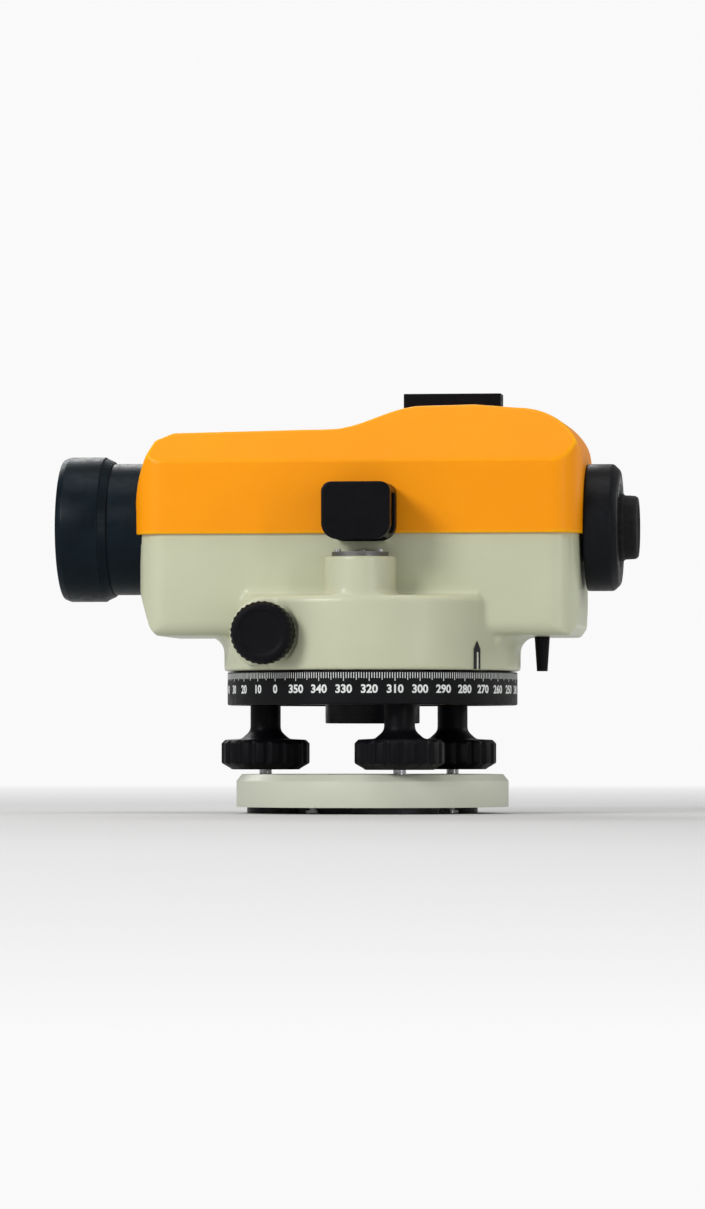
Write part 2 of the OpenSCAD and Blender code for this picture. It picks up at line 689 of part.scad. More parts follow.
module compensator_frame() color("dimgray") difference() {
    union() {
        for (x = [frame_x[0], frame_x[1] - 3]) block([x, -24, deck_z + 0.02], [x + 3, 24, 126]);
        for (x = [frame_x[0], frame_x[1] - 3]) block([x, -12, 125], [x + 3, 12, 140.5]);
        block([frame_x[0], -12, 137], [frame_x[1], 12, 140.5]);
        block([frame_x[0], -24, deck_z + 0.02], [frame_x[1], 24, deck_z + 1.6]);
        // damper cylinder
        rod_x(5.6, frame_x[1] - 7.5, frame_x[1] - 1, damper_z);
        // shelves under the fixed prisms
        for (x = [[frame_x[0] + 1, 27.2], [41.8, frame_x[1] - 1]], s = [-1, 1])
            block([x[0], s > 0 ? 6.8 : -11, 97.3], [x[1], s > 0 ? 11 : -6.8, 99.26]);
    }
    rod_x(11, frame_x[0] - 1, frame_x[0] + 3.01);
    rod_x(11, frame_x[1] - 3.01, frame_x[1] + 1);
    rod_x(4.4, frame_x[1] - 10, frame_x[1] - 3.5, damper_z);
    // slot for the pendulum's tail
    block([50, -3, 81.4], [70, 3, 86]);
    for (s = [-1, 1]) translate([0, s * rod_y, 0]) rod_x(rod_r + 0.03, 0, 20);
    for (x = [30.5, 39.5], s = [-1, 1]) block([x - 1.2, s * 9 - 2, 136], [x + 1.2, s * 9 + 2, 139.4]);
}

module fixed_prisms() color("lightcyan") for (side = [0, 1]) {
    x = side ? 55.7 - 1.8 : frame_x[0] + 3.1;
    d = side ? -1 : 1;
    rotate([90, 0, 0]) linear_extrude(height = 16, center = true)
        polygon([[x, 99.3], [x, 112.6], [x + d * 11.8, 99.3]]);
}

module pendulum() color("goldenrod") difference() {
    union() {
        block([26, -16, 124], [44, 16, 127.5]);
        for (s = [-1, 1]) block([30, s > 0 ? 13 : -16, 83], [40, s > 0 ? 16 : -13, 125]);
        block([19, -16, 82.6], [51, 16, 84.6]);
        block([50, -2, 82.9], [66.5, 2, 84.6]);
        // damper piston and its stem
        rod_x(3.9, 50.2, 52.4, damper_z);
        rod_x(1.2, 46.3, 50.5, damper_z);
        block([45.9, -2.5, 84.4], [47.1, 2.5, damper_z + 1]);
        for (x = [30.5, 39.5], s = [-1, 1]) block([x - 2, s * 9 - 2.4, 127], [x + 2, s * 9 + 2.4, 130]);
    }
    for (x = [30.5, 39.5], s = [-1, 1]) block([x - 0.35, s * 9 - 1.7, 126.3],
        [x + 0.35, s * 9 + 1.7, 131]);
}

module pendulum_prism() color("lightcyan") rotate([90, 0, 0]) linear_extrude(height = 22, center = true)
    polygon([[21, 96.2], [21, 95], [31, 84.65], [39, 84.65], [48.6, 95], [48.6, 96.2]]);

module suspension_tapes() color("silver") for (x = [30.5, 39.5], s = [-1, 1])
    block([x - 0.15, s * 9 - 1.5, 126.6], [x + 0.15, s * 9 + 1.5, 139]);

module check_button() color("black") union() {
    translate([button_x, 0, 52.6]) cylinder(r1 = 2, r2 = 2.8, h = 12);
    translate([button_x, 0, 64.5]) cylinder(r = 2.8, h = 5);
    translate([button_x, 0, 69.3]) cylinder(r = 4.4, h = 1.2);
    translate([button_x, 0, 69]) cylinder(r = 1.6, h = 11.6);
}

// Compression spring between the button's collar and the bridge above it.
module button_spring() color("silver") {
    sides = 8;
    turn_steps = 14;
    turns = 5;
    wire_r = 0.35;
    coil_r = 3;
    low = 70.9;
    high = 78;
    n = turns * turn_steps;
    rings = [for (j = [0:n]) let(a = j * 360 / turn_steps, z = low + (high - low) * j / n)
        [for (i = [0:sides - 1]) let(b = i * 360 / sides, r = coil_r + wire_r * cos(b))
            [button_x + r * cos(a), r * sin(a), z + wire_r * sin(b)]]];
    faces = [
        for (j = [0:n - 1], i = [0:sides - 1])
            let(k = (i + 1) % sides, p = j * sides, q = p + sides)
            each [[p + i, q + k, p + k], [p + i, q + i, q + k]],
        [for (i = [0:sides - 1]) i],
        [for (i = [sides - 1:-1:0]) n * sides + i]];
    polyhedron(points = [for (ring = rings) each ring], faces = faces);
}

// ---- reticle and eyepiece ----

module reticle_cell() color("dimgray") difference() {
    union() {
        rod_x(13.2, 66, 70.4);
        rod_x(16, 70, 72.1);
    }
    rod_x(8, 60, 80);
    rod_x(9.05, 67.5, 80);
    for (a = [45:90:315]) translate([0, 0, axis_z]) rotate([a, 0, 0]) translate([68.8, 0, -11])
        rotate([180, 0, 0])
        cylinder(r = 0.8, h = 6, $fn = 24);
}

module reticle_glass() color("lightblue") rod_x(9, 67.55, 69.5);

module eyepiece_flange() color("black") along_x(72.3) rotate_extrude() polygon([
    [9.9, 0], [12.4, 0], [12.4, cover_rear_x - 72.26], [flange_d / 2 - 0.8, cover_rear_x - 72.26],
    [flange_d / 2, cover_rear_x - 71.5], [flange_d / 2, 17.2], [flange_d / 2 - 0.5, 18.6],
        [flange_d / 2 - 1.7, 19.7],
    [flange_d / 2 - 3.6, 20.1], [15.6, 20.1], [13.1, 18.8], [13.1, 16], [9.9, 16]]);

module eyepiece_tube() color("dimgray") difference() {
    union() {
        rod_x(9.8, 74, 90.5);
        rod_x(8.6, 90, 96.5);
    }
    rod_x(7.1, 73, 97);
    rod_x(8.03, 73, 80);
}

module eyepiece_lenses() color("lightblue") {
    lens(8, 75.2, 3.6, 18, 30);
    lens(7.05, 91.6, 3.8, 14, 22);
}

module eyecup() color("black") along_x(90.9) difference() {
    rotate_extrude() polygon([
        [8.63, 0], [12.5, 0], [12.5, 2.4], [11.8, 6.8], [11, eyecup_rear_x - 90.9],
            [9.4, eyecup_rear_x - 90.9],
        [6.4, 6.6], [6.4, 5.8], [8.63, 5.8]]);
    for (i = [0:17]) rotate([0, 0, i * 20]) translate([12.9, 0, -1]) cylinder(r = 0.8, h = 3.2, $fn = 16);
}

// ---- sight, bubble and index ----

module optical_sight() color("black") difference() {
    union() {
        block([12.2, -5.5, hump_top_z - 2.1], [48.3, 5.5, 155.4]);
    }
    cover_solid(0);
    along_x(10, 153.6) cylinder(r = 1, h = 60);
}

module vial_holder() color("silver") translate([0, vial_y, 0]) difference() {
    translate([0, 0, 87]) cylinder(r = 10.4, h = 8.6);
    translate([0, 0, 88.5]) cylinder(r = 7.6, h = 10);
    for (a = [90, 210, 330]) rotate([0, 0, a]) translate([9, 0, 86]) cylinder(r = 0.85, h = 12);
}

module vial() color("yellowgreen") translate([0, vial_y, 88.52]) union() {
    cylinder(r = 7.5, h = 5.8);
    translate([0, 0, 5.79]) intersection() {
        cylinder(r = 7.5, h = 2);
        translate([0, 0, -38]) sphere(r = 38.8);
    }
}

module vial_screws() color("gray") translate([0, vial_y, 0]) for (a = [90, 210, 330])
    rotate([0, 0, a]) translate([9, 0, 0]) {
        translate([0, 0, 86.02]) cylinder(r = 0.8, h = 9.6);
        translate([0, 0, 95.62]) cylinder(r = 1.25, h = 0.9);
    }

module prism_housing() color("black") difference() {
    intersection() {
        block([-prism_half_w, prism_out_y, prism_low_z],
            [prism_half_w, -cover_half_w - 0.12, prism_high_z]);
        translate([0, -20, 0]) rotate([90, 0, 0]) linear_extrude(height = 60) union() {
            round_rect(-prism_half_w, prism_half_w, prism_low_z, prism_high_z - 5, 6);
            round_rect(-prism_half_w, prism_half_w, prism_low_z + 7, prism_high_z, 3.6);
        }
    }
    // open underside over the vial, and the viewing window towards the eyepiece
    block([-9.5, prism_out_y + 4, prism_low_z - 1], [9.5, -37, 118.5]);
    block([0, prism_out_y + 5.5, 102.5], [20, -38.5, 117]);
}

module bubble_prism() color("lightcyan") translate([0, -45, 0]) rotate([90, 0, 0])
    linear_extrude(height = 15, center = true)
        polygon([[-9.4, 101.4], [9.4, 101.4], [9.4, 118.4], [-9.4, 118.4 - 14]]);

// Black pointed index plate on the turret, over the circle's graduation.
module index_mark() color("black") rotate([0, 0, index_angle])
    translate([turret_r + 0.02, 0, turret_z + 0.3])
    rotate([90, 0, 90]) linear_extrude(height = 0.5)
        polygon([[-1.5, 0], [1.5, 0], [1.5, 7.4], [0, 10.2], [-1.5, 7.4]]);

// ---- nodes ----

base_plate();
spring_plate();
thread_bush();
plate_screws();
at_foot(0) ball_cup();  // ball_cup_a
at_foot(1) ball_cup();  // ball_cup_b
at_foot(2) ball_cup();  // ball_cup_c
at_foot(0) foot_ball();  // foot_ball_a
at_foot(1) foot_ball();  // foot_ball_b
at_foot(2) foot_ball();  // foot_ball_c
at_foot(0) foot_screw();  // foot_screw_a
at_foot(1) foot_screw();  // foot_screw_b
at_foot(2) foot_screw();  // foot_screw_c
tribrach();
foot_bushes();
bearing_sleeve();
clutch_rings();
horizontal_circle();
worm_wheel();
main_housing();
top_cover();
housing_screws();
turret_plate();
spindle();
spindle_nut();
worm_bushes();
worm();
worm_shaft();
tangent_knobs();
objective_tube();
sunshade_ring();
crown_lens();
flint_lens();
lens_retainer();
guide_rods();
focus_bush();
focus_shaft();
focus_knob();
focus_carriage();
focus_lens();
compensator_frame();
fixed_prisms();
pendulum();
pendulum_prism();
suspension_tapes();
check_button();
button_spring();
reticle_cell();
reticle_glass();
eyepiece_flange();
eyepiece_tube();
eyepiece_lenses();
eyecup();
optical_sight();
vial_holder();
vial();
vial_screws();
prism_housing();
bubble_prism();
index_mark();
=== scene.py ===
"""Looks of the automatic level: castings, knobs, graduated circle, optics, materials, light and camera."""

import json
import math

import bmesh
import bpy
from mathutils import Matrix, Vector

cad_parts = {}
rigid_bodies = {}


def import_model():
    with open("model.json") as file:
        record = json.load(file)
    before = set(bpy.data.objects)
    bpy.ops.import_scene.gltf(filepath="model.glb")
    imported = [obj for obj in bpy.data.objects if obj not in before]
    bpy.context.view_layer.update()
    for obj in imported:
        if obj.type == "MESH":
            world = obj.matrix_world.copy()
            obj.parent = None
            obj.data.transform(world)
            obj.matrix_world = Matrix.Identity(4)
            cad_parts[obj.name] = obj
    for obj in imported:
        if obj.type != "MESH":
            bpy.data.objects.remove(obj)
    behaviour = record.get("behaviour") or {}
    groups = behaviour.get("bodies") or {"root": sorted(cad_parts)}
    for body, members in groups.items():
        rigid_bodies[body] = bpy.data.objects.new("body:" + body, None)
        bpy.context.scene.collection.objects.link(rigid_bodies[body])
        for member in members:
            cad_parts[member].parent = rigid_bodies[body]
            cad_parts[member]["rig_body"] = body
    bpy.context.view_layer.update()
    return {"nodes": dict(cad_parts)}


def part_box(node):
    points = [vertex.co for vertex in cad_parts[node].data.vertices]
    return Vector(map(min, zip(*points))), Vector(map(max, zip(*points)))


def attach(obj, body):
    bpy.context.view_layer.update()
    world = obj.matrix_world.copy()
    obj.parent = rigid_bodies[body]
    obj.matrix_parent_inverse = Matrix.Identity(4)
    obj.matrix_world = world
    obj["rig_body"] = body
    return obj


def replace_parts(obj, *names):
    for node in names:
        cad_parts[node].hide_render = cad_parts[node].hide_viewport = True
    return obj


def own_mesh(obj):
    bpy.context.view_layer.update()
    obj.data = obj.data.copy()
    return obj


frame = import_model()
NODES = frame["nodes"]
MM = 0.001
TAU = 2 * math.pi
FLUTE_EDGE = 0.4  # mm over which a flute runs out into the rim

# ---------------------------------------------------------------- places, from the frame

CIRCLE_LOW, CIRCLE_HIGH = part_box("horizontal_circle")
BUSH_LOW, BUSH_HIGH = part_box("thread_bush")
COVER_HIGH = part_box("top_cover")[1]
VIAL_LOW, VIAL_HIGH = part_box("vial")
HOOD_LOW, HOOD_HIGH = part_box("sunshade_ring")
FLANGE_LOW, FLANGE_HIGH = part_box("eyepiece_flange")
EYECUP_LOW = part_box("eyecup")[0]
INDEX_LOW, INDEX_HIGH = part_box("index_mark")
FOCUS_LOW, FOCUS_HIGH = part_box("focus_knob")
TANGENT_LOW, TANGENT_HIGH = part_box("tangent_knobs")
KNOB_LOW, KNOB_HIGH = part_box("foot_screw_a")
AXIS_Z = (HOOD_LOW.z + HOOD_HIGH.z) / 2
CIRCLE_R = CIRCLE_HIGH.x


# ---------------------------------------------------------------- material building blocks

class Nodes:
    """A material's node tree, with short calls for the nodes that the materials share."""

    def __init__(self, name):
        self.material = bpy.data.materials.new(name)
        self.material.use_nodes = True
        self.tree = self.material.node_tree
        self.shader = self.tree.nodes["Principled BSDF"]
        self.place = self.add("ShaderNodeTexCoord").outputs["Object"]

    def add(self, kind, **settings):
        node = self.tree.nodes.new(kind)
        for key, value in settings.items():
            setattr(node, key, value)
        return node

    def link(self, source, target):
        self.tree.links.new(source, target)

    def set(self, **values):
        """Constants on the shader's own sockets."""
        for key, value in values.items():
            self.shader.inputs[key.replace("_", " ")].default_value = value

    def noise(self, size, detail=3.0, roughness=0.5):
        """Noise whose features are about size metres across."""
        mapping = self.add("ShaderNodeMapping")
        mapping.inputs["Scale"].default_value = [1 / size] * 3
        self.link(self.place, mapping.inputs["Vector"])
        noise = self.add("ShaderNodeTexNoise")
        noise.inputs["Scale"].default_value = 1.0
        noise.inputs["Detail"].default_value = detail
        noise.inputs["Roughness"].default_value = roughness
        self.link(mapping.outputs["Vector"], noise.inputs["Vector"])
        return noise.outputs["Fac"]

    def cells(self, size):
        """Distance to cell centres that are about size metres apart."""
        cell = self.add("ShaderNodeTexVoronoi")
        cell.inputs["Scale"].default_value = 1.0 / size
        self.link(self.place, cell.inputs["Vector"])
        return cell.outputs["Distance"]

    def spread(self, source, low, high, start=0.0, end=1.0):
        """Source from start to end becomes low to high."""
        node = self.add("ShaderNodeMapRange")
        node.inputs["From Min"].default_value = start
        node.inputs["From Max"].default_value = end
        node.inputs["To Min"].default_value = low
        node.inputs["To Max"].default_value = high
        self.link(source, node.inputs["Value"])
        return node.outputs["Result"]

    def math(self, operation, a, b):
        node = self.add("ShaderNodeMath", operation=operation, use_clamp=True)
        for socket, value in zip(node.inputs, (a, b)):
            if isinstance(value, (int, float)):
                socket.default_value = value
            else:
                self.link(value, socket)
        return node.outputs["Value"]

    def mix(self, factor, a, b):
        """Colour a where factor is 0, b where it is 1; each is a colour or a socket."""
        node = self.add("ShaderNodeMix", data_type="RGBA")
        self.link(factor, node.inputs["Factor"])
        for socket, value in zip((node.inputs[6], node.inputs[7]), (a, b)):
            if isinstance(value, (tuple, list)):
                socket.default_value = (*value[:3], 1)
            else:
                self.link(value, socket)
        return node.outputs[2]

    def edges(self, radius, low=0.1, high=0.35):
        """1 on convex and concave edges sharper than radius, 0 on flat stretches."""
        bevel = self.add("ShaderNodeBevel", samples=4)
        bevel.inputs["Radius"].default_value = radius
        geometry = self.add("ShaderNodeNewGeometry")
        dot = self.add("ShaderNodeVectorMath", operation="DOT_PRODUCT")
        self.link(bevel.outputs["Normal"], dot.inputs[0])
        self.link(geometry.outputs["Normal"], dot.inputs[1])
        return self.spread(dot.outputs["Value"], 1.0, 0.0, 1 - high, 1 - low)

    def folds(self, low=0.508, high=0.53):
        """1 along tightly rounded outer edges of a fine mesh, 0 on flat and hollow stretches."""
        return self.spread(self.add("ShaderNodeNewGeometry").outputs["Pointiness"], 0, 1, low, high)

    def bump(self, *layers):
        """Layers of (height socket, depth in metres), summed into the shader's normal."""
        normal = None
        for height, depth in layers:
            node = self.add("ShaderNodeBump")
            node.inputs["Strength"].default_value = 1.0
            node.inputs["Distance"].default_value = depth
            self.link(height, node.inputs["Height"])
            if normal is not None:
                self.link(normal, node.inputs["Normal"])
            normal = node.outputs["Normal"]
        self.link(normal, self.shader.inputs["Normal"])

    def colour(self, source):
        self.link(source, self.shader.inputs["Base Color"])

    def rough(self, source):
        self.link(source, self.shader.inputs["Roughness"])


def shade(colour, factor):
    return tuple(min(1.0, c * factor) for c in colour)


def srgb(code):
    """A six-digit sRGB code as linear red, green and blue."""
    parts = [int(code[i:i + 2], 16) / 255 for i in (0, 2, 4)]
    return tuple(c / 12.92 if c <= 0.04045 else ((c + 0.055) / 1.055) ** 2.4 for c in parts)


def enamel(name, colour, roughness, coat, peel, grime, wear, painted_fold_highlight, specular=0.3):
    """Sprayed enamel on a casting: orange peel, cloudy tone, patchy dust, a painted highlight along the folds
    and worn edges.
    """
    m = Nodes(name)
    m.set(Coat_Weight=coat, Coat_Roughness=0.28, IOR=1.5, Specular_IOR_Level=specular)
    cloud = m.noise(45 * MM, detail=4)
    base = m.mix(m.spread(cloud, 0, 1, 0.3, 0.7), shade(colour, 0.955), shade(colour, 1.03))
    dust = m.math("MULTIPLY", m.spread(m.noise(9 * MM, detail=6, roughness=0.65), 0, 1, 0.5, 0.78), grime)
    base = m.mix(dust, base, shade(colour, 0.72))
    # painted highlight: colour lighter along the tightly rounded folds, where light would catch them
    base = m.mix(m.math("MULTIPLY", m.folds(), painted_fold_highlight), base, shade(colour, 1.4))
    rubbed = m.math("MULTIPLY", m.edges(0.6 * MM), m.spread(m.noise(2.2 * MM, detail=5), 0, 1, 0.52, 0.66))
    base = m.mix(m.math("MULTIPLY", rubbed, wear), base, shade(colour, 1.3))
    m.colour(base)
    m.rough(m.spread(m.noise(6 * MM, detail=5), roughness - 0.06, roughness + 0.09, 0.3, 0.7))
    m.bump((m.noise(0.9 * MM, detail=2), peel), (m.noise(0.16 * MM, detail=2), peel * 0.25))
    return m.material


def anodised(name, colour=(0.0045, 0.005, 0.0065), roughness=0.38):
    """Black anodised aluminium: satin grain and silvered edges."""
    m = Nodes(name)
    m.set(IOR=1.5, Specular_IOR_Level=0.12)
    tone = m.mix(m.spread(m.noise(12 * MM, detail=4), 0, 1, 0.35, 0.7), colour, shade(colour, 1.7))
    worn = m.math("MULTIPLY", m.edges(0.3 * MM), m.spread(m.noise(1.4 * MM, detail=4), 0, 0.55, 0.5, 0.72))
    m.colour(m.mix(worn, tone, (0.10, 0.105, 0.11)))
    m.rough(m.spread(m.noise(2.5 * MM, detail=4), roughness - 0.07, roughness + 0.1, 0.3, 0.7))
    m.bump((m.noise(0.25 * MM, detail=3), 0.012 * MM))
    return m.material


def moulded(name, colour, roughness, grain, depth, specular=0.28):
    """Moulded plastic with a painted highlight along its edges, which are also smoother; its grain's size and
    depth are in mm.
    """
    m = Nodes(name)
    m.set(IOR=1.48, Specular_IOR_Level=specular)
    cloud = m.spread(m.noise(14 * MM, detail=4), 0, 1, 0.35, 0.7)
    tone = m.mix(cloud, shade(colour, 0.85), shade(colour, 1.2))
    # painted highlight: colour lighter along every edge
    m.colour(m.mix(m.math("MULTIPLY", m.edges(0.35 * MM), 0.35), tone, shade(colour, 3.0)))
    polish = m.math("MULTIPLY", m.edges(0.6 * MM), 0.1)
    base = m.spread(m.noise(3 * MM, detail=4), roughness - 0.05, roughness + 0.08, 0.3, 0.7)
    m.rough(m.math("SUBTRACT", base, polish))
    m.bump((m.cells(grain * MM), depth * MM), (m.noise(0.2 * MM), depth * 0.4 * MM))
    return m.material


def rubber(name):
    """Matte rubber, chalky on its edges."""
    m = Nodes(name)
    m.set(IOR=1.45, Specular_IOR_Level=0.25, Sheen_Weight=0.04, Sheen_Roughness=0.5)
    cloud = m.spread(m.noise(5 * MM, detail=5), 0, 1, 0.35, 0.7)
    tone = m.mix(cloud, (0.006, 0.006, 0.0065), (0.011, 0.011, 0.012))
    m.colour(m.mix(m.math("MULTIPLY", m.edges(0.4 * MM), 0.4), tone, (0.03, 0.03, 0.03)))
    m.rough(m.spread(m.noise(2 * MM, detail=4), 0.62, 0.82, 0.3, 0.7))
    m.bump((m.noise(0.18 * MM, detail=3), 0.015 * MM))
    return m.material


def metal(name, colour, roughness, tarnish=0.3, scratch=0.006):
    """Bare metal: patchy tarnish, brighter edges and scratches, whose depth is in mm."""
    m = Nodes(name)
    m.set(Metallic=1.0)
    patch = m.spread(m.noise(7 * MM, detail=6, roughness=0.6), 0, tarnish, 0.45, 0.75)
    tone = m.mix(patch, colour, shade(colour, 0.55))
    m.colour(m.mix(m.math("MULTIPLY", m.edges(0.25 * MM), 0.5), tone, shade(colour, 1.25)))
    marks = m.noise(1.5 * MM, detail=5)
    m.rough(m.spread(marks, roughness - 0.08, roughness + 0.12, 0.3, 0.7))
    m.bump((m.noise(0.3 * MM, detail=4), scratch * MM))
    return m.material


def glass(name, tint, ior=1.52, coat=1.0, coat_tint=(1, 1, 1)):
    """Polished glass with a faint film of dust."""
    m = Nodes(name)
    m.set(Transmission_Weight=1.0, IOR=ior)
    m.set(Coat_Weight=coat, Coat_Roughness=0.02, Coat_Tint=(*coat_tint, 1))
    m.colour(m.mix(m.spread(m.noise(6 * MM, detail=4), 0, 1, 0.4, 0.7), tint, shade(tint, 0.96)))
    m.rough(m.spread(m.noise(4 * MM, detail=6), 0.0, 0.035, 0.45, 0.8))
    return m.material


def marking(name, colour):
    """Filled engraving or screen print, a little uneven."""
    m = Nodes(name)
    m.set(IOR=1.45)
    m.colour(m.mix(m.spread(m.noise(0.8 * MM, detail=5), 0, 1, 0.45, 0.75), colour, shade(colour, 0.8)))
    m.rough(m.spread(m.noise(0.5 * MM), 0.45, 0.62, 0.3, 0.7))
    m.bump((m.noise(0.15 * MM), 0.006 * MM))
    return m.material


CREAM = enamel("cream_enamel", srgb("C6C9AC"), roughness=0.36, coat=0.25, peel=0.020 * MM,
               grime=0.07, wear=0.4, painted_fold_highlight=0.1)
BASE_CREAM = enamel("base_enamel", srgb("CDD0BE"), roughness=0.40, coat=0.2, peel=0.024 * MM,
                    grime=0.10, wear=0.5, painted_fold_highlight=0.1)
ORANGE = enamel("orange_enamel", (1.0, 0.33, 0.0), roughness=0.44, coat=0.05, peel=0.018 * MM,
                grime=0.03, wear=0.25, painted_fold_highlight=0.75, specular=0.16)
ANODISED = anodised("black_anodising")
CIRCLE_BLACK = anodised("circle_black", (0.004, 0.0042, 0.005), 0.45)
# the teal in this black base colour is a painted sheen, standing for a bluish reflection
TEAL_SHEEN_BLACK = anodised("sunshade_black", (0.0014, 0.0052, 0.0085), 0.36)
FLAT_BLACK = moulded("flat_black_paint", (0.006, 0.006, 0.006), 0.8, grain=0.3, depth=0.015)
KNOB_PLASTIC = moulded("knob_plastic", (0.0035, 0.0035, 0.005), 0.42, grain=0.4, depth=0.018, specular=0.11)
HOOD_PLASTIC = moulded("hood_plastic", (0.003, 0.003, 0.0045), 0.36, grain=0.5, depth=0.010, specular=0.11)
RUBBER = rubber("eyecup_rubber")
BRASS = metal("turned_brass", (0.72, 0.50, 0.22), 0.30)
BRONZE = metal("bearing_bronze", (0.52, 0.33, 0.16), 0.36)
STEEL = metal("ground_steel", (0.56, 0.57, 0.59), 0.26)
SCREW_STEEL = metal("screw_steel", (0.50, 0.50, 0.50), 0.34)
SPRING_STEEL = metal("blackened_steel", (0.035, 0.035, 0.038), 0.42, tarnish=0.6, scratch=0.012)
ALUMINIUM = metal("machined_aluminium", (0.66, 0.67, 0.68), 0.32)
DULL_ALUMINIUM = metal("dull_aluminium", (0.20, 0.20, 0.195), 0.52, tarnish=0.5, scratch=0.01)
ACETAL = moulded("white_acetal", (0.62, 0.61, 0.57), 0.4, grain=0.6, depth=0.01)
LENS = glass("coated_lens", (0.93, 0.97, 1.0), coat_tint=(0.55, 0.85, 0.75))
PRISM = glass("prism_glass", (0.95, 0.99, 0.99))
VIAL_GLASS = glass("vial_glass", (0.97, 1.0, 0.98), ior=1.5)
LIQUID = glass("vial_liquid", (0.62, 0.86, 0.10), ior=1.36, coat=0.0)
BUBBLE = glass("vial_bubble", (0.98, 1.0, 0.95), ior=1.0, coat=0.0)
WHITE_MARK = marking("white_marks", srgb("E9ECEA"))
CREAM_MARK = marking("cream_mark", srgb("D9DAC8"))
BLACK_MARK = marking("black_marks", (0.01, 0.01, 0.012))


# ---------------------------------------------------------------- mesh building blocks

def paint(piece, material):
    piece.data.materials.clear()
    piece.data.materials.append(material)
    return piece


def smooth(piece, angle=35):
    """Smooth shading with sharp edges above an angle in degrees."""
    for polygon in piece.data.polygons:
        polygon.use_smooth = True
    piece.data.set_sharp_from_angle(angle=math.radians(angle))
    return piece


def new_piece(name, vertices, faces, material, body, slot, angle=35):
    mesh = bpy.data.meshes.new(name)
    mesh.from_pydata([tuple(v) for v in vertices], [], faces)
    mesh.validate()
    piece = bpy.data.objects.new(name, mesh)
    bpy.context.scene.collection.objects.link(piece)
    bm = bmesh.new()
    bm.from_mesh(mesh)
    bmesh.ops.recalc_face_normals(bm, faces=bm.faces)
    bm.to_mesh(mesh)
    bm.free()
    paint(smooth(piece, angle), material)
    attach(piece, body)
    return piece


def body_of_node(node):
    return NODES[node]["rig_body"]


def applied(piece):
    """Applies the piece's modifiers to its mesh."""
    graph = bpy.context.evaluated_depsgraph_get()
    mesh = bpy.data.meshes.new_from_object(piece.evaluated_get(graph))
    piece.modifiers.clear()
    old = piece.data
    piece.data = mesh
    bpy.data.meshes.remove(old)
    return piece


def copy_of(node, name):
    """A welded copy of a CAD node's mesh, riding on the node's body and replacing it."""
    piece = bpy.data.objects.new(name, NODES[node].data.copy())
    bpy.context.scene.collection.objects.link(piece)
    bm = bmesh.new()
    bm.from_mesh(piece.data)
    bmesh.ops.remove_doubles(bm, verts=bm.verts, dist=0.002 * MM)
    bm.to_mesh(piece.data)
    bm.free()
    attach(piece, body_of_node(node))
    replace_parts(piece, node)
    return piece


def softened(node, name, material, width):
    """A copy of a CAD node with its edges rounded by a bevel of the given width."""
    piece = copy_of(node, name)
    dissolve = piece.modifiers.new("flat", "DECIMATE")
    dissolve.decimate_type = "DISSOLVE"
    dissolve.angle_limit = math.radians(0.8)
    bevel = piece.modifiers.new("round", "BEVEL")
    bevel.width = width
    bevel.segments = 3
    bevel.limit_method = "ANGLE"
    bevel.angle_limit = math.radians(30)
    bevel.harden_normals = False
    bevel.use_clamp_overlap = True
    applied(piece)
    paint(smooth(piece, 40), material)
    return piece


def cast(node, name, material, voxel, rounds, share=0.4):
    """A copy of a CAD node with edges rounded as on a casting: remeshed, relaxed and thinned to a share."""
    piece = copy_of(node, name)
    remesh = piece.modifiers.new("voxels", "REMESH")
    remesh.mode = "VOXEL"
    remesh.voxel_size = voxel
    remesh.adaptivity = 0
    relax = piece.modifiers.new("relax", "SMOOTH")
    relax.factor = 0.5
    relax.iterations = rounds
    thin = piece.modifiers.new("thin", "DECIMATE")
    thin.ratio = share
    applied(piece)
    paint(smooth(piece, 60), material)
    return piece


def rounded(corners):
    """An outline through corners given as (x, y, radius), each one rounded off by about its radius."""
    outline = []
    for i, (x, y, radius) in enumerate(corners):
        here = Vector((x, y))
        if radius == 0 or i in (0, len(corners) - 1):
            outline.append(here)
            continue
        before = Vector(corners[i - 1][:2]) - here
        after = Vector(corners[i + 1][:2]) - here
        half = before.angle(after) / 2
        reach = min(radius / math.tan(half), 0.49 * before.length, 0.49 * after.length)
        start, end = here + before.normalized() * reach, here + after.normalized() * reach
        steps = max(2, round(math.degrees(math.pi - 2 * half) / 18))
        for k in range(steps + 1):
            t = k / steps
            outline.append(start * (1 - t) ** 2 + here * 2 * t * (1 - t) + end * t ** 2)
    return outline


def soft_min(a, b, blend):
    """The smaller of a and b, with a smooth passage where they meet."""
    t = max(0.0, 1 - abs(a - b) / blend)
    return min(a, b) - blend * t * t / 4


def flute_limit(angle, count, centre, radius):
    """How far out a round flute lets the surface reach at an angle."""
    pitch = TAU / count
    off = (angle + pitch / 2) % pitch - pitch / 2
    side = centre * math.sin(off)
    return centre * math.cos(off) - math.sqrt(radius ** 2 - side ** 2) if abs(side) < radius else math.inf


def turned(outline, place, axis, steps, flutes=None):
    """A shape turned about an axis; outline is a closed ring of (radius, height) in mm.

    flutes is (count, centre, radius, low, high): round grooves along the rim between two heights."""
    turn = Vector(axis).to_track_quat("Z", "Y").to_matrix()
    vertices = []
    for step in range(steps):
        angle = TAU * step / steps
        for radius, height in outline:
            if flutes and flutes[3] <= height <= flutes[4]:
                radius = soft_min(radius, flute_limit(angle, *flutes[:3]), FLUTE_EDGE)
            spoke = Vector((radius * math.cos(angle), radius * math.sin(angle), height)) * MM
            vertices.append(Vector(place) + turn @ spoke)
    rows = len(outline)
    faces = []
    for i in range(steps):
        here, there = i * rows, (i + 1) % steps * rows
        faces += [(here + j, here + (j + 1) % rows, there + (j + 1) % rows, there + j) for j in range(rows)]
    return vertices, faces


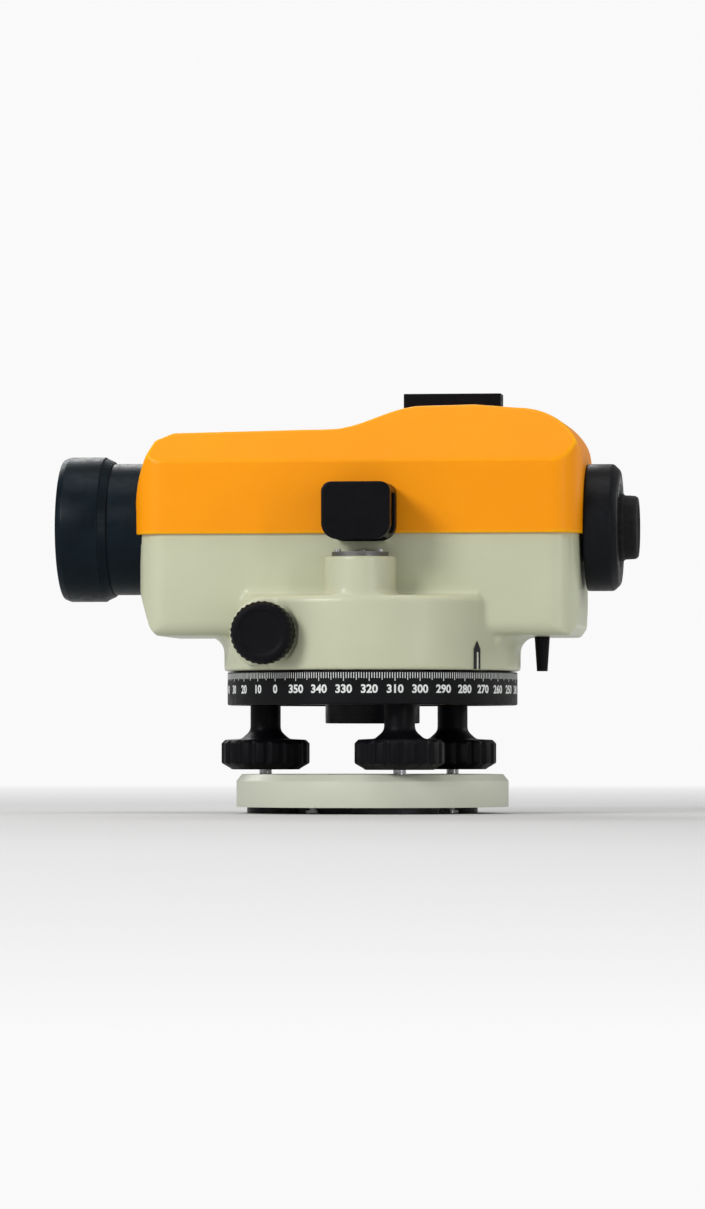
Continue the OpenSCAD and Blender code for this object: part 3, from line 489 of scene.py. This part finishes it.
BLOCK_FACES = [(0, 2, 3, 1), (4, 5, 7, 6), (0, 1, 5, 4), (2, 6, 7, 3), (0, 4, 6, 2), (1, 3, 7, 5)]


def block(low, high):
    """A box between two corners."""
    vertices = [(x, y, z) for z in (low[2], high[2]) for y in (low[1], high[1]) for x in (low[0], high[0])]
    return vertices, BLOCK_FACES


def lettering(text, height, depth):
    """Figures in the built-in typeface, centred on x and standing on y = 0, with their faces towards +Z."""
    curve = bpy.data.curves.new("figures", "FONT")
    curve.body = text
    curve.align_x = "CENTER"
    curve.resolution_u = 3
    curve.offset = 0.03  # a little bolder than the typeface
    writer = bpy.data.objects.new("figures", curve)
    bpy.context.scene.collection.objects.link(writer)
    graph = bpy.context.evaluated_depsgraph_get()
    mesh = writer.evaluated_get(graph).to_mesh()
    low = min(v.co.y for v in mesh.vertices)
    scale = height / (max(v.co.y for v in mesh.vertices) - low)
    flat = [(v.co.x * scale, (v.co.y - low) * scale) for v in mesh.vertices]
    count = len(flat)
    vertices = [(x, y, 0.0) for x, y in flat] + [(x, y, depth) for x, y in flat]
    faces = [tuple(p.vertices) for p in mesh.polygons]
    edges = dict.fromkeys(edge for face in faces for edge in zip(face, face[1:] + face[:1]))
    rim = [(a, b, count + b, count + a) for a, b in edges if (b, a) not in edges]
    faces = [tuple(reversed(f)) for f in faces] + [tuple(count + v for v in f) for f in faces] + rim
    writer.evaluated_get(graph).to_mesh_clear()
    bpy.data.objects.remove(writer)
    bpy.data.curves.remove(curve)
    return vertices, faces


def bent(shape, radius, angle, base):
    """A flat shape wrapped round the vertical axis, with its x = 0 at an angle and its y = 0 at a height."""
    vertices, faces = shape
    wrapped = []
    for x, y, depth in vertices:
        at = angle + x / radius
        reach = radius + depth
        wrapped.append((reach * math.cos(at), reach * math.sin(at), base + y))
    return wrapped, faces


def merged(shapes):
    """Several shapes as one."""
    vertices, faces = [], []
    for points, polygons in shapes:
        start = len(vertices)
        vertices += list(points)
        faces += [tuple(start + i for i in polygon) for polygon in polygons]
    return vertices, faces


def piece_for(node, name, shape, material, slot, angle=35):
    """A new piece that stands for a CAD node."""
    piece = new_piece(name, *shape, material, body_of_node(node), slot, angle)
    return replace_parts(piece, node)


# ---------------------------------------------------------------- castings and mouldings

cast("main_housing", "housing_casting", CREAM, voxel=0.7 * MM, rounds=6)
cast("top_cover", "cover_casting", ORANGE, voxel=0.7 * MM, rounds=6)
cast("prism_housing", "prism_hood", HOOD_PLASTIC, voxel=0.4 * MM, rounds=5, share=0.3)
cast("optical_sight", "sight_bar", HOOD_PLASTIC, voxel=0.3 * MM, rounds=4, share=0.3)
softened("base_plate", "base_casting", BASE_CREAM, width=1.0 * MM)
softened("tribrach", "tribrach_body", ANODISED, width=0.5 * MM)

# ---------------------------------------------------------------- knobs and foot screws

def foot_screw(letter):
    """Fluted knob and its column, which covers the threaded bush of the tribrach."""
    low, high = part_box(f"foot_screw_{letter}")
    place = ((low.x + high.x) / 2, (low.y + high.y) / 2, low.z)
    rim = (KNOB_HIGH.x - KNOB_LOW.x) / 2 / MM
    stud, bore, column = 3.0, 4.85, 5.65
    outline = rounded([
        (0.01, 0.0, 0), (12.6, 0.0, 0.6), (13.2, 0.5, 0.4), (rim, 2.4, 0.9), (rim, 9.7, 0.7),
        (rim - 1.4, 11.1, 0.8), (9.0, 11.4, 2.5), (column, 14.4, 3.5), (column, 24.2, 0.3), (bore, 24.2, 0.2),
        (bore, 13.4, 0), (stud, 13.4, 0), (stud, 26.4, 0.4), (stud - 0.9, 27.2, 0), (0.01, 27.2, 0)])
    shape = turned(outline, place, (0, 0, 1), steps=288, flutes=(18, rim + 0.9, 1.7, 1.2, 10.9))
    piece_for(f"foot_screw_{letter}", f"foot_knob_{letter}", shape, KNOB_PLASTIC, "black_plastic")


def tangent_knobs():
    """The two knobs of the tangent screw, with fine flutes and a dished cap."""
    rim = (TANGENT_HIGH.x - TANGENT_LOW.x) / 2 / MM
    outline = rounded([
        (2.52, 0.0, 0), (rim - 1.5, 0.0, 0.5), (rim, 1.2, 0.6), (rim, 9.3, 0.8), (rim - 1.3, 11.2, 0.8),
        (rim - 3.0, 11.3, 0.6), (rim - 3.8, 10.7, 0.6), (0.01, 10.9, 0), (0.01, 8.6, 0), (2.52, 8.6, 0)])
    middle = (TANGENT_LOW + TANGENT_HIGH) / 2
    width = 11.6 * MM
    flutes = (32, rim + 0.62, 0.95, 1.0, 9.9)
    sides = [
        turned(outline, (middle.x, side, middle.z), (0, way, 0), steps=288, flutes=flutes)
        for side, way in ((TANGENT_HIGH.y - width, 1), (TANGENT_LOW.y + width, -1))]
    piece_for("tangent_knobs", "tangent_knob_pair", merged(sides), KNOB_PLASTIC, "black_plastic")


def focusing_knob():
    """Large fluted knob with a raised rim round its cap."""
    rim = (FOCUS_HIGH.x - FOCUS_LOW.x) / 2 / MM
    outline = rounded([
        (3.02, 0.0, 0), (rim - 3, 0.0, 0.8), (rim - 1.4, 1.5, 0.6), (rim, 2.3, 0.5), (rim, 12.3, 0.8),
        (rim - 1.2, 13.9, 0.8), (rim - 3.6, 14.6, 0.8), (rim - 4.6, 13.9, 0.7), (5.0, 13.9, 0.3),
        (4.6, 14.2, 0.3), (0.01, 14.3, 0), (0.01, 13.6, 0), (3.02, 13.6, 0)])
    middle = (FOCUS_LOW + FOCUS_HIGH) / 2
    place = (middle.x, FOCUS_LOW.y, middle.z)
    shape = turned(outline, place, (0, 1, 0), steps=360, flutes=(30, rim + 0.8, 1.4, 2.2, 12.6))
    piece_for("focus_knob", "focusing_knob", shape, KNOB_PLASTIC, "black_plastic")


for letter in "abc":
    foot_screw(letter)
tangent_knobs()
focusing_knob()

# ---------------------------------------------------------------- graduated circle and index

def graduated_circle():
    """The circle, its divisions every degree and its figures every ten degrees, counted clockwise."""
    rim, low, high = CIRCLE_R / MM, CIRCLE_LOW.z / MM, CIRCLE_HIGH.z / MM
    outline = rounded([
        (49.9, 45.0, 0), (49.9, low, 0.3), (rim, low, 0.7), (rim, high, 0.45), (49.2, high, 0.3),
        (49.2, 49.4, 0), (41.5, 49.4, 0), (41.5, high, 0.3), (40.0, high, 0.3), (40.0, 47.3, 0),
        (49.9, 47.3, 0)])
    shape = turned(outline, (0, 0, 0), (0, 0, 1), steps=360)
    piece_for("horizontal_circle", "graduated_circle", shape, CIRCLE_BLACK, "black_anodised")
    zero = math.radians(-125)  # where the circle's 0 stands
    sunk, depth = 0.04 * MM, 0.075 * MM
    tens, fives, ones = 3.1 * MM, 2.7 * MM, 2.1 * MM
    half = 0.14 * MM
    top = CIRCLE_HIGH.z - 0.55 * MM
    figure_height, figure_foot = 3.2 * MM, CIRCLE_LOW.z + 4.1 * MM
    marks = []
    for degree in range(360):
        length = tens if degree % 10 == 0 else fives if degree % 5 == 0 else ones
        tick = block((-half, -length, 0), (half, 0, depth))
        marks.append(bent(tick, CIRCLE_R - sunk, zero - math.radians(degree), top))
    for degree in range(0, 360, 10):
        figure = lettering(str(degree), figure_height, depth)
        marks.append(bent(figure, CIRCLE_R - sunk, zero - math.radians(degree), figure_foot))
    new_piece("circle_marks", *merged(marks), WHITE_MARK, body_of_node("horizontal_circle"), "white_acetal")


def index_line():
    """Cream line down the middle of the index plate."""
    middle = (INDEX_LOW + INDEX_HIGH) / 2
    angle = math.atan2(middle.y, middle.x)
    lift = 0.26 * MM  # from the plate's middle to just over its outer face
    reach = math.hypot(middle.x, middle.y) + lift
    half, length, depth = 0.35 * MM, 6.2 * MM, 0.06 * MM
    line = block((-half, 0, 0), (half, length, depth))
    new_piece("index_line", *bent(line, reach, angle, INDEX_LOW.z), CREAM_MARK, body_of_node("index_mark"),
              "white_acetal")


graduated_circle()
index_line()

# ---------------------------------------------------------------- telescope ends

def sunshade():
    """Hood at the objective, stepped and bevelled, blackened inside."""
    rim, tube = (HOOD_HIGH.z - HOOD_LOW.z) / 2 / MM, 24.54
    outline = rounded([
        (tube, 11.2, 0), (19.6, 11.2, 0), (19.6, 9.8, 0), (20.2, 8.6, 0.6), (23.0, 5.2, 1.0),
        (24.2, 0.0, 0.7), (rim - 1.0, 0.0, 0.9), (rim, 2.4, 1.2), (rim, 15.5, 0.5), (rim - 0.5, 16.1, 0.3),
        (25.2, 18.9, 0.3), (tube, 18.9, 0)])
    shape = turned(outline, (HOOD_LOW.x, 0, AXIS_Z), (1, 0, 0), steps=192)
    piece_for("sunshade_ring", "sunshade_hood", shape, TEAL_SHEEN_BLACK, "black_anodised")


def eyepiece_ring():
    """Flange on the rear wall."""
    rim = (FLANGE_HIGH.z - FLANGE_LOW.z) / 2 / MM
    wall = (COVER_HIGH.x - FLANGE_LOW.x) / MM + 0.04
    outline = rounded([
        (9.9, 0.0, 0), (12.4, 0.0, 0), (12.4, wall, 0), (rim, wall, 0.8), (rim, 17.6, 1.6),
        (rim - 2.4, 20.1, 1.6), (15.2, 20.1, 0.8), (13.1, 18.8, 0.4), (13.1, 16.0, 0), (9.9, 16.0, 0)])
    shape = turned(outline, (FLANGE_LOW.x, 0, AXIS_Z), (1, 0, 0), steps=192)
    piece_for("eyepiece_flange", "eyepiece_ring", shape, ANODISED, "black_anodised")


def diopter_scale():
    """Nine marks on the flange's rear face, the middle one wider and every fourth one longer."""
    middle = Vector((FLANGE_HIGH.x, 0, AXIS_Z))
    inner, short, long = 16.4 * MM, 18.2 * MM, 18.9 * MM
    lift = Vector((0.05 * MM, 0, 0))
    ticks = []
    for step in range(-4, 5):
        angle = math.radians(90 + 12 * step)
        half = (0.22 if step else 0.4) * MM
        across = Vector((0, -math.sin(angle), math.cos(angle))) * half
        along = Vector((0, math.cos(angle), math.sin(angle)))
        reaches = (inner, short if step % 4 else long)
        base = [middle + along * reach + across * side for reach in reaches for side in (-1, 1)]
        corners = [c - lift for c in base] + [c + lift for c in base]
        ticks.append((corners, BLOCK_FACES))
    new_piece("diopter_scale", *merged(ticks), WHITE_MARK, body_of_node("eyepiece_flange"), "white_acetal")


def rubber_eyecup():
    """Fluted diopter ring with a soft lip that turns inwards."""
    outline = rounded([
        (8.63, 0.0, 0), (12.5, 0.0, 0.3), (12.5, 2.5, 0.5), (11.9, 3.2, 0.6), (11.7, 6.9, 0.9),
        (11.0, 8.0, 0.7), (9.6, 8.0, 0.6), (8.9, 7.4, 0.8), (6.4, 6.6, 0.3), (6.4, 5.8, 0), (8.63, 5.8, 0)])
    place = (EYECUP_LOW.x, 0, AXIS_Z)
    shape = turned(outline, place, (1, 0, 0), steps=216, flutes=(36, 12.9, 0.6, 0.2, 2.3))
    piece_for("eyecup", "rubber_eyecup", shape, RUBBER, "soft_rubber")
    disc = [(0.01, 0.0), (0.55, 0.0), (0.5, 0.12), (0.01, 0.12)]
    dot = turned(disc, (EYECUP_LOW.x + 4.9 * MM, 0, AXIS_Z + 11.76 * MM), (0, 0, 1), steps=24)
    new_piece("diopter_dot", *dot, WHITE_MARK, body_of_node("eyecup"), "white_acetal")


sunshade()
eyepiece_ring()
diopter_scale()
rubber_eyecup()

# ---------------------------------------------------------------- bubble and tripod thread

def bubble():
    """Liquid, bubble and ring of the circular vial."""
    middle = (VIAL_LOW + VIAL_HIGH) / 2
    place = (middle.x, middle.y, VIAL_LOW.z)
    top = (VIAL_HIGH.z - VIAL_LOW.z) / MM
    fill = rounded([(0.01, 1.0, 0), (6.6, 1.0, 0.4), (6.6, top - 1.6, 0.5), (0.01, top - 1.2, 0)])
    liquid = turned(fill, place, (0, 0, 1), steps=64)
    new_piece("vial_liquid", *liquid, LIQUID, body_of_node("vial"), "vial_glass")
    lens = rounded([
        (0.01, top - 1.75, 0), (2.1, top - 1.7, 0.5), (2.1, top - 1.3, 0.4), (0.01, top - 1.15, 0)])
    air = turned(lens, place, (0, 0, 1), steps=48)
    new_piece("vial_bubble", *air, BUBBLE, body_of_node("vial"), "vial_glass")
    band = [(2.9, top - 0.28), (3.2, top - 0.28), (3.2, top + 0.01), (2.9, top + 0.01)]
    ring = turned(band, place, (0, 0, 1), steps=64)
    new_piece("vial_ring", *ring, BLACK_MARK, body_of_node("vial"), "black_plastic")


def tripod_thread():
    """Brass bush with its real 5/8 inch by 11 thread, which runs out at both ends."""
    pitch, crest, root = 25.4 / 11, 6.78, 7.95
    length = (BUSH_HIGH.z - BUSH_LOW.z) / MM
    run_out, chamfer = 0.6, 0.5
    sides, rows = 64, 66
    spokes = [Vector((math.cos(TAU * i / sides), math.sin(TAU * i / sides), 0)) * MM for i in range(sides)]
    foot = Vector((0, 0, BUSH_LOW.z))
    vertices = []
    for j in range(rows + 1):
        height = length * j / rows
        ease = min(1.0, min(height, length - height) / run_out)
        for i in range(sides):
            phase = (height / pitch - i / sides) % 1
            flank = min(1.0, max(0.0, abs(2 * phase - 1) * 1.35 - 0.12))
            radius = crest + (root - crest) * (1 - flank) * ease + (1 - ease) * chamfer
            vertices.append(foot + spokes[i] * radius + Vector((0, 0, height * MM)))
    outer = rounded([(8.4, 0, 0), (9.0, 0.0, 0.3), (9.0, 2.52, 0), (11.75, 2.52, 0.25), (11.75, 5.48, 0.25),
                     (9.0, 5.48, 0), (9.0, length, 0.3), (8.4, length, 0)])
    for radius, height in outer:
        vertices += [foot + spoke * radius + Vector((0, 0, height * MM)) for spoke in spokes]
    loops = list(range(rows + 1)) + [rows + 1 + k for k in reversed(range(len(outer)))]
    faces = []
    for a, b in zip(loops, loops[1:] + loops[:1]):
        faces += [(a * sides + i, a * sides + (i + 1) % sides, b * sides + (i + 1) % sides, b * sides + i)
                  for i in range(sides)]
    piece_for("thread_bush", "threaded_bush", (vertices, faces), BRASS, "turned_brass")


bubble()
tripod_thread()

# ---------------------------------------------------------------- spring of the test button

def button_spring():
    """Coil spring whose turns lie closer at both ends."""
    low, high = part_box("button_spring")
    middle = (low + high) / 2
    wire, turns, steps, sides = 0.35 * MM, 6, 24, 10
    closed = 0.36  # share of the pitch that is missing at the very ends
    coil, rise = (high.x - low.x) / 2 - wire, high.z - low.z - 2 * wire
    vertices = []
    for step in range(turns * steps + 1):
        share, angle = step / (turns * steps), TAU * step / steps
        height = low.z + wire + rise * (share - closed * math.sin(TAU * share) / TAU)
        for side in range(sides):
            radius = coil + wire * math.cos(TAU * side / sides)
            vertices.append((middle.x + radius * math.cos(angle), middle.y + radius * math.sin(angle),
                             height + wire * math.sin(TAU * side / sides)))
    faces = [(a + i, a + (i + 1) % sides, a + sides + (i + 1) % sides, a + sides + i)
             for a in range(0, turns * steps * sides, sides) for i in range(sides)]
    faces += [tuple(range(sides)), tuple(range(turns * steps * sides, (turns * steps + 1) * sides))]
    piece = piece_for("button_spring", "test_button_spring", (vertices, faces), STEEL, "ground_steel", 60)
    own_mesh(piece)


button_spring()

# ---------------------------------------------------------------- materials of the CAD nodes that stay

FINISHES = {
    # base and tribrach
    "spring_plate": SPRING_STEEL, "plate_screws": SCREW_STEEL, "foot_bushes": BRONZE,
    "bearing_sleeve": BRASS, "clutch_rings": STEEL, "worm_wheel": BRASS,
    # housing and tangent screw
    "housing_screws": SCREW_STEEL, "turret_plate": ANODISED, "spindle": STEEL, "spindle_nut": STEEL,
    "worm_bushes": BRONZE, "worm": STEEL, "worm_shaft": STEEL,
    # telescope
    "objective_tube": TEAL_SHEEN_BLACK, "crown_lens": LENS, "flint_lens": LENS, "lens_retainer": FLAT_BLACK,
    "guide_rods": STEEL, "focus_bush": BRONZE, "focus_shaft": STEEL, "focus_carriage": FLAT_BLACK,
    "focus_lens": LENS, "compensator_frame": FLAT_BLACK, "fixed_prisms": PRISM, "pendulum": BRASS,
    "pendulum_prism": PRISM, "suspension_tapes": STEEL, "check_button": KNOB_PLASTIC,
    "reticle_cell": FLAT_BLACK, "reticle_glass": PRISM, "eyepiece_tube": ALUMINIUM,
    "eyepiece_lenses": LENS,
    # bubble and index
    "vial_holder": DULL_ALUMINIUM, "vial": VIAL_GLASS, "vial_screws": SCREW_STEEL,
    "bubble_prism": PRISM, "index_mark": BLACK_MARK,
}
FINISHES.update({f"ball_cup_{k}": ACETAL for k in "abc"})
FINISHES.update({f"foot_ball_{k}": STEEL for k in "abc"})
for node, material in FINISHES.items():
    paint(smooth(NODES[node]), material)

# ---------------------------------------------------------------- floor, light and camera

BACKGROUND = 0.95  # the white that the camera sees
AMBIENT = 0.3  # the white that lights the instrument
LIT_POINT = Vector((0, 0, 0.09))
SOFTBOXES = [  # name, place, width and height, power in watts
    ("key", (-0.95, -1.35, 0.85), (0.6, 0.5), 16),
    ("strip", (1.15, -1.2, 0.35), (0.18, 1.0), 4),
    ("top", (0.0, -0.2, 1.5), (1.2, 0.9), 7),
    ("back", (-0.6, 1.3, 1.0), (1.2, 0.6), 10),
    ("end", (1.5, 0.7, 0.6), (0.8, 0.6), 6)]


def floor_finish():
    """Matt pale grey near the instrument, passing into the white of the background further out."""
    near, far = 0.4, 1.7
    m = Nodes("floor_white")
    m.colour(m.mix(m.spread(m.noise(0.4, detail=2), 0, 1, 0.3, 0.7), (0.60, 0.60, 0.60), (0.62, 0.62, 0.62)))
    m.rough(m.spread(m.noise(0.1), 0.77, 0.83))
    reach = m.add("ShaderNodeVectorMath", operation="LENGTH")
    m.link(m.place, reach.inputs[0])
    glow = m.add("ShaderNodeEmission")
    glow.inputs["Strength"].default_value = BACKGROUND
    blend = m.add("ShaderNodeMixShader")
    m.link(m.spread(reach.outputs["Value"], 0, 1, near, far), blend.inputs["Fac"])
    m.link(m.shader.outputs["BSDF"], blend.inputs[1])
    m.link(glow.outputs["Emission"], blend.inputs[2])
    m.link(blend.outputs["Shader"], m.tree.nodes["Material Output"].inputs["Surface"])
    return m.material


def stage():
    """Wide floor at the underside of the base."""
    reach = 15.0
    corners = [(-reach, -reach, 0), (reach, -reach, 0), (reach, reach, 0), (-reach, reach, 0)]
    mesh = bpy.data.meshes.new("floor")
    mesh.from_pydata(corners, [], [(0, 1, 2, 3)])
    floor = bpy.data.objects.new("floor", mesh)
    bpy.context.scene.collection.objects.link(floor)
    paint(floor, floor_finish())


def area_light(name, place, size, power):
    """A softbox that faces the instrument and isn't seen itself."""
    data = bpy.data.lights.new(name, "AREA")
    data.shape = "RECTANGLE"
    data.size, data.size_y = size
    data.energy = power
    light = bpy.data.objects.new(name, data)
    bpy.context.scene.collection.objects.link(light)
    light.visible_camera = False
    light.location = place
    light.rotation_euler = (LIT_POINT - Vector(place)).to_track_quat("-Z", "Y").to_euler()


def lights():
    """Softboxes round the instrument, in a white room that lights it less than it shows."""
    for name, place, size, power in SOFTBOXES:
        area_light(name, place, size, power)
    world = bpy.data.worlds.new("studio")
    world.use_nodes = True
    tree = world.node_tree
    room = tree.nodes["Background"]
    room.inputs["Strength"].default_value = AMBIENT
    room.inputs["Color"].default_value = (1, 1, 1, 1)
    sky = tree.nodes.new("ShaderNodeBackground")
    sky.inputs["Strength"].default_value = BACKGROUND
    sky.inputs["Color"].default_value = (1, 1, 1, 1)
    blend = tree.nodes.new("ShaderNodeMixShader")
    tree.links.new(tree.nodes.new("ShaderNodeLightPath").outputs["Is Camera Ray"], blend.inputs["Fac"])
    tree.links.new(room.outputs["Background"], blend.inputs[1])
    tree.links.new(sky.outputs["Background"], blend.inputs[2])
    tree.links.new(blend.outputs["Shader"], tree.nodes["World Output"].inputs["Surface"])
    bpy.context.scene.world = world


def camera():
    """A little behind the square side view and just below it; the sensor's width is the picture's height."""
    azimuth, elevation = math.radians(6.5), math.radians(-1.4)
    distance = 2.2
    seen_width, aspect = 0.262, 1209 / 705
    target = Vector((-0.0075, 0, 0.0775))
    back = Vector((math.sin(azimuth) * math.cos(elevation), -math.cos(azimuth) * math.cos(elevation),
                   math.sin(elevation)))
    data = bpy.data.cameras.new("camera")
    data.sensor_fit = "AUTO"
    data.sensor_width = 36
    data.lens = data.sensor_width * distance / (seen_width * aspect)
    data.clip_start = 0.05
    view = bpy.data.objects.new("camera", data)
    bpy.context.scene.collection.objects.link(view)
    view.location = target + back * distance
    view.rotation_euler = (-back).to_track_quat("-Z", "Y").to_euler()
    bpy.context.scene.camera = view


stage()
lights()
camera()
bpy.context.scene.view_settings.view_transform = "Standard"

bpy.context.view_layer.update()
